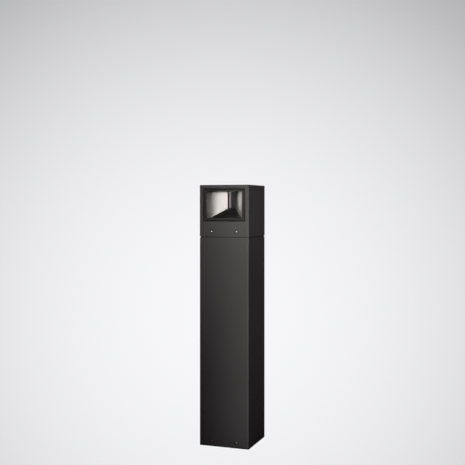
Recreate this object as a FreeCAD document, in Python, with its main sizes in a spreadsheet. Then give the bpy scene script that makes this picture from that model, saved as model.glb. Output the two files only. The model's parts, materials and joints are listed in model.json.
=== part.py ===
import FreeCAD, Part

import math
import os
import re

import Sketcher

# Bollard light: a square lamp head on a square hollow post, both of extruded or cast aluminium.
# The post drops over an anchor plate bolted to the ground and is clamped by set screws at its foot.
# The head drops over an adapter on the post and is clamped in the same way, with a thin shadow gap.
# Frame: origin at the centre of the footprint on the ground, +Z up, the window faces -Y.

Vector = FreeCAD.Vector
doc = FreeCAD.newDocument("bollard_light")
sheet = doc.addObject("Spreadsheet::Sheet", "dims")

# Driving dimensions, in millimetres (angles in degrees).
DIMENSIONS = {
    # the whole
    "section": 160.0,
    "total_height": 804.0,
    "head_height": 159.0,
    "wall": 4.0,
    "roof_thick": 5.0,
    "shadow_gap": 3.0,
    "gap_inset": 2.5,
    "gasket_thick": 3.0,
    "post_corner": 3.0,
    "head_corner": 1.8,
    "head_top_edge": 1.2,
    # how far a cutting tool runs past the face that it leaves by
    "run_out": 1.0,
    # ground anchor
    "anchor_thick": 6.0,
    "anchor_play": 1.0,
    "anchor_corner_cut": 28.0,
    "cable_hole_radius": 30.0,
    "ground_bolt_pitch": 100.0,
    "ground_bolt_radius": 5.5,
    "upright_width": 110.0,
    "upright_thick": 5.0,
    "upright_height": 27.0,
    "upright_edge": 2.0,
    # clamping by set screws, alike at the foot and in the head
    "clamp_face": 68.5,
    "screw_spread": 40.5,
    "foot_screw_height": 16.0,
    "head_screw_height": 16.5,
    "insert_radius": 5.95,
    "insert_hole": 6.0,
    "insert_sink": 0.5,
    "insert_end": 9.5,
    "insert_collar_radius": 6.5,
    "insert_collar_thick": 2.0,
    "insert_thread": 4.0,
    "set_screw_radius": 3.9,
    "set_screw_sink": 1.4,
    "tip_play": 0.3,
    "set_hex": 2.31,
    "set_hex_depth": 4.0,
    # post extrusion
    "channel_place": 68.5,
    "channel_radius": 8.5,
    "channel_bore": 2.75,
    # adapter between post and head
    "lug_half": 58.0,
    "lug_side_face": 75.5,
    "lug_height": 28.0,
    "lug_thick": 5.0,
    "rib_depth": 8.0,
    "rib_thick": 3.0,
    "rib_half": 55.0,
    "rib_play": 0.5,
    "adapter_screw_hole": 3.2,
    "adapter_screw_radius": 2.7,
    "adapter_screw_length": 26.0,
    "cap_head_radius": 5.0,
    "cap_head_height": 6.0,
    "cap_hex": 2.89,
    "cap_hex_depth": 3.0,
    # plug and socket between post and head
    "coupler_y": 25.0,
    "socket_radius": 14.0,
    "socket_hole": 14.2,
    "socket_flange_radius": 18.0,
    "socket_flange_thick": 3.0,
    "socket_height": 17.0,
    "socket_neck_radius": 9.0,
    "socket_tail": 14.0,
    "contact_circle": 6.5,
    "contact_hole": 2.2,
    "contact_hole_depth": 12.0,
    "contact_pin": 1.8,
    "pin_setback": 2.0,
    "plug_wall": 3.5,
    "plug_play": 0.5,
    "plug_skirt": 13.0,
    "plug_headroom": 2.0,
    "plug_flange_radius": 24.0,
    "plug_flange_thick": 2.0,
    "plug_neck_radius": 11.8,
    "plug_neck_hole": 12.0,
    "plug_neck_height": 10.0,
    "plug_nut_radius": 17.0,
    "plug_nut_thick": 4.0,
    # floor plate that closes the head from below
    "floor_rise": 35.0,
    "floor_thick": 4.0,
    "floor_play": 1.5,
    "floor_seal_thick": 1.5,
    "ledge_thick": 4.5,
    "ledge_width": 6.0,
    "floor_boss_x": 69.0,
    "floor_boss_front": 54.0,
    "floor_boss_rear": 66.0,
    "floor_boss_radius": 7.5,
    "floor_boss_height": 18.0,
    "floor_screw_radius": 1.9,
    "floor_screw_bore": 1.95,
    "floor_screw_length": 16.0,
    "floor_screw_hole": 2.2,
    "floor_seal_inset": 0.5,
    "pan_head_radius": 4.0,
    "pan_head_height": 2.6,
    # window
    "window_rise": 97.8,
    "opening_half_width": 68.4,
    "opening_half_height": 50.8,
    "frame_half_width": 64.2,
    "frame_half_height": 46.4,
    "sight_half_width": 57.7,
    "sight_half_height": 39.7,
    "frame_sink": 0.4,
    "frame_lip": 2.2,
    "frame_depth": 7.6,
    "frame_bevel": 1.6,
    "rebate": 3.4,
    "ear_half_height": 5.0,
    "ear_reach": 10.4,
    "ear_root": 0.5,
    "ear_thick": 2.0,
    "ear_pitch": 32.0,
    "ear_screw_x": 71.6,
    "ear_boss_radius": 2.9,
    "ear_screw_bore": 1.25,
    "ear_screw_radius": 1.2,
    "ear_screw_hole": 1.6,
    "ear_screw_length": 6.0,
    "ear_tap_play": 0.4,
    "ear_head_radius": 2.6,
    "ear_head_height": 1.8,
    "opening_edge": 0.4,
    "seal_play": 0.2,
    "seal_sink": 2.8,
    "seal_thick": 2.6,
    "pane_play": 0.3,
    "pane_thick": 4.0,
    "pane_seal_thick": 0.6,
    "pane_seal_inset": 0.6,
    # light chamber: two wings in a V, a dark ramp below and a bright fin at the throat
    "chamber_front": 7.8,
    "chamber_back": 69.0,
    "mouth_half": 59.2,
    "throat_half": 12.6,
    "wing_thick": 1.6,
    "wing_bottom": 45.5,
    "wing_top": 142.5,
    "wing_flange": 20.0,
    "back_plate_thick": 3.0,
    "back_plate_half": 38.0,
    "fin_half": 2.0,
    "fin_front": 56.0,
    "fin_bottom": 88.0,
    "fin_foot_half": 3.4,
    "fin_foot_front": 57.0,
    "ramp_front_rise": 53.0,
    "ramp_back_rise": 85.4,
    "ramp_thick": 2.0,
    "ramp_play": 0.2,
    # light engine under the roof
    "cover_thick": 1.0,
    "cover_window_half": 30.0,
    "cover_window_front": 15.0,
    "cover_window_back": 53.0,
    "lens_half": 46.0,
    "lens_margin": 2.0,
    "lens_thick": 1.2,
    "lens_dome": 3.2,
    "led_pitch_x": 14.0,
    "led_pitch_y": 18.0,
    "led_size": 3.6,
    "led_thick": 0.7,
    "board_thick": 1.6,
    "spreader_half": 56.0,
    "spreader_front": 9.0,
    "spreader_back": 60.0,
    "spreader_screw_x": 51.0,
    "spreader_screw_front": 13.0,
    "spreader_screw_back": 56.0,
    "spreader_screw_hole": 1.8,
    "spreader_screw_radius": 1.6,
    "spreader_screw_bite": 3.2,
    "spreader_tap_depth": 3.5,
    "spreader_tap_radius": 1.65,
    "spreader_head_radius": 3.0,
    "spreader_head_height": 2.0,
    # driver on its tray
    "tray_half": 62.0,
    "tray_y": -2.0,
    "tray_thick": 2.0,
    "tray_foot": 38.0,
    "tray_top": 141.0,
    "tray_screw_x": 45.0,
    "tray_screw_y": -25.0,
    "driver_half": 30.0,
    "driver_depth": 28.0,
    "driver_bottom": 67.0,
    "driver_top": 137.0,
    "driver_edge": 2.0,
    "surge_half": 9.0,
    "surge_place": 46.0,
    "surge_bottom": 75.0,
    "surge_top": 115.0,
    "surge_depth": 22.0,
    "vent_x": -45.0,
    "vent_y": 35.0,
    "vent_radius": 5.9,
    "vent_hole": 6.0,
    "vent_head_radius": 8.0,
    "vent_head_height": 4.0,
    "vent_nut_thick": 3.0,
    "vent_nut_radius": 9.0,
    "driver_cable_straight": 6.0,
    # connection box inside the post
    "bracket_half": 30.0,
    "bracket_y": 40.0,
    "bracket_thick": 3.0,
    "bracket_drop": 200.0,
    "bracket_foot": 22.0,
    "bracket_screw_x": 20.0,
    "bracket_screw_y": 55.0,
    "bracket_screw_length": 10.0,
    "box_half": 40.0,
    "box_depth": 52.0,
    "box_drop": 62.0,
    "box_height": 110.0,
    "box_wall": 3.0,
    "box_pillar": 4.5,
    "box_pillar_radius": 4.4,
    "box_screw_bore": 1.5,
    "box_screw_radius": 1.4,
    "box_screw_hole": 1.6,
    "box_seal_thick": 1.2,
    "box_seal_width": 2.0,
    "box_seal_inset": 0.4,
    "box_lid_thick": 3.0,
    "box_screw_head": 3.0,
    "box_screw_head_height": 2.0,
    "box_screw_length": 18.0,
    "gland_y": 14.0,
    "gland_hex": 11.0,
    "gland_hex_height": 7.0,
    "gland_dome_radius": 9.0,
    "gland_length": 20.0,
    "gland_thread_radius": 7.8,
    "gland_thread_hole": 8.0,
    "gland_thread_length": 8.0,
    "supply_bore": 5.0,
    "lamp_bore": 3.55,
    "cable_radius": 3.5,
    "cable_bend": 7.0,
    "cable_stub": 8.0,
    "coupler_cable_rise": 21.0,
    "coupler_cable_end": 7.0,
    "block_half": 26.0,
    "block_depth": 16.0,
    "block_height": 20.0,
    "block_rise": 22.0,
    "terminal_pitch": 10.0,
    "terminal_well_radius": 2.6,
    "terminal_well_depth": 6.0,
    "terminal_entry_half": 2.5,
    "terminal_entry_near": 4.0,
    "terminal_entry_far": 9.0,
    "terminal_entry_height": 7.0,
    "fuse_half": 9.0,
    "fuse_depth": 30.0,
    "fuse_height": 40.0,
    "fuse_rise": 55.0,
    "fuse_grip_inset": 3.0,
    "fuse_grip_reach": 4.0,
    "fuse_grip_low": 12.0,
    "fuse_grip_high": 28.0,
    # earth connection on the inner wall of the post
    "earth_y": -25.0,
    "earth_drop": 100.0,
    "earth_boss_radius": 5.0,
    "earth_boss_height": 3.0,
    "earth_stud_radius": 2.9,
    "earth_stud_length": 16.0,
    "earth_nut_radius": 5.8,
    "earth_nut_bore": 3.0,
    "earth_nut_thick": 5.0,
    "earth_nut_gap": 1.0,
}

for row, (alias, value) in enumerate(DIMENSIONS.items(), start=1):
    sheet.set("A%d" % row, alias)
    sheet.set("B%d" % row, str(value))
    sheet.setAlias("B%d" % row, alias)
doc.recompute()

# Levels and faces that many pieces share, as expressions of the driving dimensions.
HALF = "section / 2"
INSIDE = "(section / 2 - wall)"
FRONT = "(0 - section / 2)"
ANCHOR_TOP = "(gasket_thick + anchor_thick)"
HEAD_BASE = "(total_height - head_height)"
POST_TOP = "(%s - shadow_gap)" % HEAD_BASE
CEILING = "(total_height - roof_thick)"
HEAD_SCREW_Z = "(%s + head_screw_height)" % HEAD_BASE
FLOOR_Z = "(%s + floor_rise)" % HEAD_BASE
FLOOR_TOP = "(%s + floor_thick)" % FLOOR_Z
LEDGE_Z = "(%s + floor_seal_thick)" % FLOOR_TOP
WINDOW_Z = "(%s + window_rise)" % HEAD_BASE
WING_Z = "(%s + wing_bottom)" % HEAD_BASE
COVER_Z = "(%s + wing_top)" % HEAD_BASE
LENS_Z = "(%s + cover_thick)" % COVER_Z
LED_Z = "(%s + lens_thick)" % LENS_Z
BOARD_Z = "(%s + led_thick)" % LED_Z
SPREADER_Z = "(%s + board_thick)" % BOARD_Z
BOX_TOP = "(%s - box_drop)" % POST_TOP
BOX_BOTTOM = "(%s - box_height)" % BOX_TOP
BOX_FRONT = "(bracket_y - box_depth)"
PLUG_FACE = "(%s - floor_rise + socket_height + plug_headroom)" % FLOOR_Z

LED_COLUMNS, LED_ROWS = 4, 2
TERMINALS = 5
TOLERANCE = 1e-6
ALIAS = re.compile(r"\b(%s)\b" % "|".join(DIMENSIONS))
PIECES = {}


# ---------------------------------------------------------------- helpers

def bound(text):
    """Write an expression so that its names point at the cells of the sheet."""
    return ALIAS.sub(r"dims.\1", text)


def at_depth(text):
    """The y of a plane that lies the given depth behind the front face."""
    return "(%s + %s)" % (FRONT, text)


def bind(item, places):
    for place, text in places.items():
        item.setExpression(place, bound(text))


def keep(node, item):
    """Register an object as the finished sub-part of that name."""
    item.Label = node
    PIECES[node] = item
    return item


def block(name, x, y, z):
    """A box between pairs of expressions for its low and high x, y and z."""
    item = doc.addObject("Part::Box", name)
    for side, place, (low, high) in zip(("Length", "Width", "Height"), "xyz", (x, y, z)):
        bind(item, {side: "(%s) - (%s)" % (high, low), "Placement.Base." + place: low})
    return item


TURNS = {"x": (Vector(0, 1, 0), 90), "y": (Vector(1, 0, 0), -90), "z": (Vector(0, 0, 1), 0)}


def place_along(item, axis, across, start):
    """Stand an object's own Z along an axis, from a start level; across gives the other two places."""
    item.Placement = FreeCAD.Placement(Vector(), FreeCAD.Rotation(*TURNS[axis]))
    others = [letter for letter in "xyz" if letter != axis]
    bind(item, {"Placement.Base." + others[0]: across[0], "Placement.Base." + others[1]: across[1],
                "Placement.Base." + axis: start})


def rod(name, axis, across, span, radius):
    item = doc.addObject("Part::Cylinder", name)
    place_along(item, axis, across, span[0])
    bind(item, {"Radius": radius, "Height": "(%s) - (%s)" % (span[1], span[0])})
    return item


def hexagon(name, axis, across, span, corner_radius):
    item = doc.addObject("Part::Prism", name)
    item.Polygon = 6
    place_along(item, axis, across, span[0])
    bind(item, {"Circumradius": corner_radius, "Height": "(%s) - (%s)" % (span[1], span[0])})
    return item


def fuse(name, *items):
    result = doc.addObject("Part::MultiFuse", name)
    result.Shapes = list(items)
    return result


def cut(name, base, *tools):
    result = doc.addObject("Part::Cut", name)
    result.Base = base
    result.Tool = tools[0] if len(tools) == 1 else fuse(name + "_tools", *tools)
    return result


def group(name, items):
    """Identical loose pieces that share one sub-part."""
    result = doc.addObject("Part::Compound", name)
    result.Links = items
    return result


def body(node):
    return keep(node, doc.addObject("PartDesign::Body", node + "_body"))


def sketch(owner, plane, level):
    """A sketch on one of the body's own origin planes, moved along the plane's normal."""
    item = owner.newObject("Sketcher::SketchObject", owner.Name + "_sketch")
    origin_plane = next(part for part in owner.Origin.OriginFeatures if part.Role == plane)
    item.AttachmentSupport = (origin_plane, [""])
    item.MapMode = "FlatFace"
    bind(item, {"AttachmentOffset.Base.z": level})
    return item


def fix_point(item, geometry, point, place):
    for kind, text in zip(("DistanceX", "DistanceY"), place):
        index = item.addConstraint(Sketcher.Constraint(kind, -1, 1, geometry, point, 1.0))
        bind(item, {"Constraints[%d]" % index: text})


def polygon(item, points):
    """A closed outline through points given as pairs of expressions, which start on a circle."""
    count = len(points)
    first = item.GeometryCount
    turns = [2 * math.pi * k / count for k in range(count)]
    guess = [Vector(math.cos(turn), math.sin(turn), 0) * DIMENSIONS["section"] for turn in turns]
    for k in range(count):
        item.addGeometry(Part.LineSegment(guess[k], guess[(k + 1) % count]))
    for k in range(count):
        item.addConstraint(Sketcher.Constraint("Coincident", first + k, 2, first + (k + 1) % count, 1))
    for k, place in enumerate(points):
        fix_point(item, first + k, 1, place)


def rectangle(item, x, y):
    polygon(item, [(x[0], y[0]), (x[1], y[0]), (x[1], y[1]), (x[0], y[1])])


def circles(item, places, radius):
    for place in places:
        index = item.addGeometry(Part.Circle(Vector(1, 1, 0), Vector(0, 0, 1), 1))
        fix_point(item, index, 3, place)
        index = item.addConstraint(Sketcher.Constraint("Radius", index, 1.0))
        bind(item, {"Constraints[%d]" % index: radius})


def feature(owner, kind, item, length, towards_normal):
    """Add a Pad or a Pocket, and make sure that it changes the volume the right way."""
    before = owner.Shape.Volume if owner.Tip else 0.0
    result = owner.newObject("PartDesign::" + kind, owner.Name + "_" + kind.lower())
    result.Profile = item
    result.Reversed = towards_normal if kind == "Pocket" else not towards_normal
    bind(result, {"Length": length})
    item.Visibility = False
    doc.recompute()
    grown = owner.Shape.Volume - before
    if grown == 0 or (grown > 0) != (kind == "Pad"):
        raise RuntimeError("%s of %s does not change its volume" % (kind, owner.Label))
    return result


def pad(owner, item, length, towards_normal=True):
    return feature(owner, "Pad", item, length, towards_normal)


def pocket(owner, item, length, towards_normal=False):
    return feature(owner, "Pocket", item, length, towards_normal)


def dress(owner, kind, size, chosen):
    """Fillet or chamfer the edges of the body's tip that the test picks."""
    names = ["Edge%d" % (k + 1) for k, edge in enumerate(owner.Shape.Edges) if chosen(edge)]
    if not names:
        raise RuntimeError("no edges to dress on " + owner.Label)
    tip = owner.Tip
    result = owner.newObject("PartDesign::" + kind, owner.Name + "_" + kind.lower())
    result.Base = (tip, names)
    bind(result, {"Radius" if kind == "Fillet" else "Size": size})
    doc.recompute()
    return result


def upright(edge):
    """True for a straight edge along Z."""
    box = edge.BoundBox
    return box.XLength < TOLERANCE and box.YLength < TOLERANCE


def flat_at(level):
    """A test for edges that lie wholly at one height."""
    def chosen(edge):
        box = edge.BoundBox
        return abs(box.ZMin - level) < TOLERANCE and abs(box.ZMax - level) < TOLERANCE
    return chosen


def both(text):
    """The mirrored pair -value, +value."""
    return ("0 - (%s)" % text, text)


def corners(half_x, half_y):
    return [(x, y) for x in both(half_x) for y in both(half_y)]


def bent_path(points, radius):
    """Straight runs joined by tangent arcs of one radius."""
    edges = []
    start = points[0]
    for before, corner, after in zip(points, points[1:], points[2:]):
        incoming = (corner - before).normalize()
        outgoing = (after - corner).normalize()
        turn = incoming.getAngle(outgoing)
        setback = radius * math.tan(turn / 2)
        arc_start = corner - incoming * setback
        arc_end = corner + outgoing * setback
        inward = (outgoing - incoming).normalize()
        middle = corner + inward * (radius / math.cos(turn / 2) - radius)
        edges.append(Part.LineSegment(start, arc_start).toShape())
        edges.append(Part.Arc(arc_start, middle, arc_end).toShape())
        start = arc_end
    edges.append(Part.LineSegment(start, points[-1]).toShape())
    return Part.Wire(edges)


def cable(node, points, radius, bend):
    path = bent_path(points, bend)
    ring = Part.Wire(Part.Circle(points[0], points[1] - points[0], radius).toShape())
    item = doc.addObject("Part::Feature", node + "_sweep")
    item.Shape = path.makePipeShell([ring], True, False)
    expected = math.pi * radius ** 2 * path.Length
    if abs(item.Shape.Volume / expected - 1) > 0.01:
        raise RuntimeError(node + " is not as full as its section times its length")
    return keep(node, item)


# ---------------------------------------------------------------- ground anchor

def base_gasket():
    """Flush rubber sheet between the ground and the rim of the post."""
    item = body("base_gasket")
    outline = sketch(item, "XY_Plane", "0")
    rectangle(outline, both(HALF), both(HALF))
    pad(item, outline, "gasket_thick")
    dress(item, "Fillet", "post_corner", upright)
    ground_holes(item, "gasket_thick")


def ground_holes(item, top):
    holes = sketch(item, "XY_Plane", top)
    circles(holes, [("0", "0")], "cable_hole_radius")
    circles(holes, corners("ground_bolt_pitch / 2", "ground_bolt_pitch / 2"), "ground_bolt_radius")
    pocket(item, holes, top)


def anchor_plate():
    """Galvanised plate inside the foot of the post, corners cut to clear the screw channels."""
    item = body("anchor_plate")
    outline = sketch(item, "XY_Plane", "gasket_thick")
    rectangle(outline, both(INSIDE + " - anchor_play"), both(INSIDE + " - anchor_play"))
    pad(item, outline, "anchor_thick")
    dress(item, "Chamfer", "anchor_corner_cut", upright)
    ground_holes(item, ANCHOR_TOP)


def anchor_upright(node, side):
    """Welded flat bar that the foot set screws press on; side is -1 at the front, 1 at the rear."""
    face = "clamp_face * %d" % side
    inner = "(clamp_face - upright_thick) * %d" % side
    y = (face, inner) if side < 0 else (inner, face)
    bar = block(node + "_bar", both("upright_width / 2"), y,
                (ANCHOR_TOP, "%s + upright_height" % ANCHOR_TOP))
    doc.recompute()
    top = bar.Shape.BoundBox.ZMax
    rounded = doc.addObject("Part::Fillet", node + "_rounded")
    rounded.Base = bar
    size = DIMENSIONS["upright_edge"]
    rounded.Edges = [(k + 1, size, size) for k, edge in enumerate(bar.Shape.Edges) if flat_at(top)(edge)]
    keep(node, rounded)


# ---------------------------------------------------------------- clamping set screws

def wall_span(side, outer, inner):
    """The y span of a piece through the front (-1) or rear (1) wall, by its depths from that face."""
    near = "(section / 2 - (%s)) * %d" % (outer, side)
    far = "(section / 2 - (%s)) * %d" % (inner, side)
    return (near, far) if side < 0 else (far, near)


def threaded_inserts(node, z):
    """Blackened press-in nuts that give the thin wall a thread."""
    made = []
    for side in (-1, 1):
        for x in both("screw_spread"):
            name = "%s_%d" % (node, len(made))
            barrel = rod(name + "_barrel", "y", (x, z),
                         wall_span(side, "insert_sink", "insert_end"), "insert_radius")
            collar = rod(name + "_collar", "y", (x, z),
                         wall_span(side, "wall", "wall + insert_collar_thick"), "insert_collar_radius")
            thread = rod(name + "_thread", "y", (x, z), wall_span(side, "0", "insert_end + run_out"),
                         "insert_thread")
            made.append(cut(name, fuse(name + "_outer", barrel, collar), thread))
    keep(node, group(node + "_group", made))


def set_screws(node, z):
    """Stainless set screws with a hexagon socket; their tips stop just off the clamped face."""
    made = []
    tip = "section / 2 - clamp_face - tip_play"
    for side in (-1, 1):
        for x in both("screw_spread"):
            name = "%s_%d" % (node, len(made))
            shank = rod(name + "_shank", "y", (x, z), wall_span(side, "set_screw_sink", tip),
                        "set_screw_radius")
            socket = hexagon(name + "_socket", "y", (x, z),
                             wall_span(side, "0", "set_screw_sink + set_hex_depth"), "set_hex")
            made.append(cut(name, shank, socket))
    keep(node, group(node + "_group", made))


# ---------------------------------------------------------------- post

def post_tube():
    """Square extrusion with a screw channel in each inner corner, bored for inserts at the foot."""
    item = body("post_tube")
    outline = sketch(item, "XY_Plane", "gasket_thick")
    rectangle(outline, both(HALF), both(HALF))
    length = "%s - gasket_thick" % POST_TOP
    pad(item, outline, length)
    dress(item, "Fillet", "post_corner", upright)
    hollow = sketch(item, "XY_Plane", POST_TOP)
    rectangle(hollow, both(INSIDE), both(INSIDE))
    pocket(item, hollow, length)
    channels = sketch(item, "XY_Plane", "gasket_thick")
    circles(channels, corners("channel_place", "channel_place"), "channel_radius")
    pad(item, channels, length)
    bores = sketch(item, "XY_Plane", POST_TOP)
    circles(bores, corners("channel_place", "channel_place"), "channel_bore")
    pocket(item, bores, length)
    insert_holes(item, "foot_screw_height")


def insert_holes(item, z):
    """Holes for the threaded inserts, straight through the front and rear walls."""
    holes = sketch(item, "XZ_Plane", HALF)
    circles(holes, [(x, z) for x in both("screw_spread")], "insert_hole")
    pocket(item, holes, "section")


def post_adapter():
    """Casting on the post: a set-back plate that makes the shadow gap, with lugs up and ribs down."""
    item = body("post_adapter")
    half = HALF + " - gap_inset"
    outline = sketch(item, "XY_Plane", POST_TOP)
    rectangle(outline, both(half), both(half))
    pad(item, outline, "shadow_gap")
    lugs = sketch(item, "XY_Plane", HEAD_BASE)
    ribs = sketch(item, "XY_Plane", POST_TOP)
    rib_face = INSIDE + " - rib_play"
    for side in (-1, 1):
        for inner, outer, half_length, target in (
                ("clamp_face - lug_thick", "clamp_face", "lug_half", lugs),
                (rib_face + " - rib_thick", rib_face, "rib_half", ribs)):
            low, high = sorted_pair(inner, outer, side)
            rectangle(target, both(half_length), (low, high))
        for inner, outer, half_length, target in (
                ("lug_side_face - lug_thick", "lug_side_face", "lug_half", lugs),
                (rib_face + " - rib_thick", rib_face, "rib_half", ribs)):
            low, high = sorted_pair(inner, outer, side)
            rectangle(target, (low, high), both(half_length))
    pad(item, lugs, "lug_height")
    pad(item, ribs, "rib_depth", towards_normal=False)
    holes = sketch(item, "XY_Plane", HEAD_BASE)
    circles(holes, corners("channel_place", "channel_place"), "adapter_screw_hole")
    circles(holes, [("0", "coupler_y")], "socket_hole")
    circles(holes, [(x, "bracket_screw_y") for x in both("bracket_screw_x")], "adapter_screw_hole")
    pocket(item, holes, "shadow_gap")


def sorted_pair(inner, outer, side):
    """The low and high places of a strip on the negative or positive side."""
    if side < 0:
        return "0 - (%s)" % outer, "0 - (%s)" % inner
    return inner, outer


def cap_screw(name, place, under_head, shank_radius, length, head_radius, head_height, hexes):
    """A socket-head screw that points down, its head resting at the given level."""
    head = rod(name + "_head", "z", place, (under_head, "%s + %s" % (under_head, head_height)), head_radius)
    shank = rod(name + "_shank", "z", place, ("%s - %s" % (under_head, length), under_head), shank_radius)
    corner, depth = hexes
    socket = hexagon(name + "_socket", "z", place,
                     ("%s + %s - %s" % (under_head, head_height, depth),
                      "%s + %s + run_out" % (under_head, head_height)), corner)
    return cut(name, fuse(name + "_whole", head, shank), socket)


def adapter_screws():
    """Cap screws that hold the adapter in the post's screw channels."""
    made = [cap_screw("adapter_screw_%d" % k, place, HEAD_BASE, "adapter_screw_radius",
                      "adapter_screw_length", "cap_head_radius", "cap_head_height",
                      ("cap_hex", "cap_hex_depth"))
            for k, place in enumerate(corners("channel_place", "channel_place"))]
    keep("adapter_screws", group("adapter_screws_group", made))


def contacts(name, span, radius):
    """Three contacts on a circle about the coupler's axis."""
    made = []
    for k, angle in enumerate((90, 210, 330)):
        place = ("contact_circle * cos(%d deg)" % angle,
                 "coupler_y + contact_circle * sin(%d deg)" % angle)
        made.append(rod("%s_%d" % (name, k), "z", place, span, radius))
    return made


def coupler_socket():
    """Socket that feeds the head, set in the adapter plate and facing up."""
    place = ("0", "coupler_y")
    top = "%s + socket_height" % HEAD_BASE
    barrel = rod("socket_barrel", "z", place, (POST_TOP, top), "socket_radius")
    flange = rod("socket_flange", "z", place, (HEAD_BASE, HEAD_BASE + " + socket_flange_thick"),
                 "socket_flange_radius")
    tail = rod("socket_tail_part", "z", place, ("%s - socket_tail" % POST_TOP, POST_TOP),
               "socket_neck_radius")
    holes = contacts("socket_hole", (top + " - contact_hole_depth", top + " + run_out"), "contact_hole")
    keep("coupler_socket", cut("coupler_socket_cut", fuse("socket_whole", barrel, flange, tail), *holes))


def box_bracket():
    """Bent strip that hangs the connection box below the adapter."""
    web = block("bracket_web", both("bracket_half"), ("bracket_y", "bracket_y + bracket_thick"),
                ("%s - bracket_drop" % POST_TOP, POST_TOP))
    foot = block("bracket_foot_part", both("bracket_half"),
                 ("bracket_y", "bracket_y + bracket_foot"),
                 ("%s - bracket_thick" % POST_TOP, POST_TOP))
    holes = [rod("bracket_hole_%d" % k, "z", (x, "bracket_screw_y"),
                 ("%s - bracket_thick - run_out" % POST_TOP, POST_TOP + " + run_out"),
                 "adapter_screw_hole")
             for k, x in enumerate(both("bracket_screw_x"))]
    keep("box_bracket", cut("box_bracket_cut", fuse("bracket_whole", web, foot), *holes))


def bracket_screws():
    made = [cap_screw("bracket_screw_%d" % k, (x, "bracket_screw_y"), HEAD_BASE, "adapter_screw_radius",
                      "bracket_screw_length", "cap_head_radius", "cap_head_height",
                      ("cap_hex", "cap_hex_depth"))
            for k, x in enumerate(both("bracket_screw_x"))]
    keep("bracket_screws", group("bracket_screws_group", made))


def box_pillars(half_inset):
    middle = "(%s + %s) / 2" % (BOX_TOP, BOX_BOTTOM)
    half_x = "box_half - %s" % half_inset
    half_z = "(box_height / 2 - %s)" % half_inset
    return [(x, "%s + (%s)" % (middle, z)) for x in both(half_x) for z in both(half_z)]


def terminal_box():
    """Connection box, open towards the front, with screw pillars in its corners."""
    item = body("terminal_box")
    outline = sketch(item, "XZ_Plane", "0 - bracket_y")
    rectangle(outline, both("box_half"), (BOX_BOTTOM, BOX_TOP))
    pad(item, outline, "box_depth")
    hollow = sketch(item, "XZ_Plane", "0 - " + BOX_FRONT)
    rectangle(hollow, both("box_half - box_wall"), (BOX_BOTTOM + " + box_wall", BOX_TOP + " - box_wall"))
    pocket(item, hollow, "box_depth - box_wall")
    pillars = sketch(item, "XZ_Plane", "0 - bracket_y")
    circles(pillars, box_pillars("box_pillar"), "box_pillar_radius")
    pad(item, pillars, "box_depth")
    bores = sketch(item, "XZ_Plane", "0 - " + BOX_FRONT)
    circles(bores, box_pillars("box_pillar"), "box_screw_bore")
    pocket(item, bores, "box_screw_length")
    entries = sketch(item, "XY_Plane", BOX_TOP)
    circles(entries, [("0", "gland_y")], "gland_thread_hole")
    pocket(item, entries, "box_height")


def terminal_box_seal():
    item = body("terminal_box_seal")
    outline = sketch(item, "XZ_Plane", "0 - " + BOX_FRONT)
    for inset in ("box_seal_inset", "(box_seal_inset + box_seal_width)"):
        rectangle(outline, both("box_half - " + inset),
                  ("%s + %s" % (BOX_BOTTOM, inset), "%s - %s" % (BOX_TOP, inset)))
    pad(item, outline, "box_seal_thick")


def terminal_box_lid():
    item = body("terminal_box_lid")
    outline = sketch(item, "XZ_Plane", "box_seal_thick - " + BOX_FRONT)
    rectangle(outline, both("box_half"), (BOX_BOTTOM, BOX_TOP))
    pad(item, outline, "box_lid_thick")
    face = sketch(item, "XZ_Plane", "box_seal_thick + box_lid_thick - " + BOX_FRONT)
    circles(face, box_pillars("box_pillar"), "box_screw_hole")
    pocket(item, face, "box_lid_thick")


def terminal_lid_screws():
    made = []
    lid_face = "%s - box_seal_thick - box_lid_thick" % BOX_FRONT
    for k, place in enumerate(box_pillars("box_pillar")):
        name = "lid_screw_%d" % k
        head = rod(name + "_head", "y", place, (lid_face + " - box_screw_head_height", lid_face),
                   "box_screw_head")
        shank = rod(name + "_shank", "y", place, (lid_face, lid_face + " + box_screw_length"),
                    "box_screw_radius")
        made.append(fuse(name, head, shank))
    keep("terminal_lid_screws", group("lid_screws_group", made))


def terminal_block():
    """Row of screw terminals for the supply, on the back of the connection box."""
    back = "bracket_y - box_wall"
    low = "(%s + block_rise)" % BOX_BOTTOM
    base = block("terminal_base", both("block_half"), (back + " - block_depth", back),
                 (low, low + " + block_height"))
    tools = []
    face = back + " - block_depth"
    for k in range(TERMINALS):
        x = "(%d - %d) * terminal_pitch" % (k, TERMINALS // 2)
        tools.append(rod("terminal_well_%d" % k, "y", (x, low + " + block_height / 2"),
                         (face + " - run_out", face + " + terminal_well_depth"), "terminal_well_radius"))
        tools.append(block("terminal_entry_%d" % k,
                           (x + " - terminal_entry_half", x + " + terminal_entry_half"),
                           (back + " - terminal_entry_far", back + " - terminal_entry_near"),
                           (low + " - run_out", low + " + terminal_entry_height")))
    keep("terminal_block", cut("terminal_block_cut", base, *tools))


def fuse_carrier():
    """Fuse in a pull-out carrier above the terminals."""
    back = "bracket_y - box_wall"
    low = "(%s + fuse_rise)" % BOX_BOTTOM
    base = block("fuse_base", both("fuse_half"), (back + " - fuse_depth", back),
                 (low, low + " + fuse_height"))
    face = back + " - fuse_depth"
    grip = block("fuse_grip", both("fuse_half - fuse_grip_inset"), (face + " - fuse_grip_reach", face),
                 (low + " + fuse_grip_low", low + " + fuse_grip_high"))
    keep("fuse_carrier", fuse("fuse_carrier_whole", base, grip))


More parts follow.
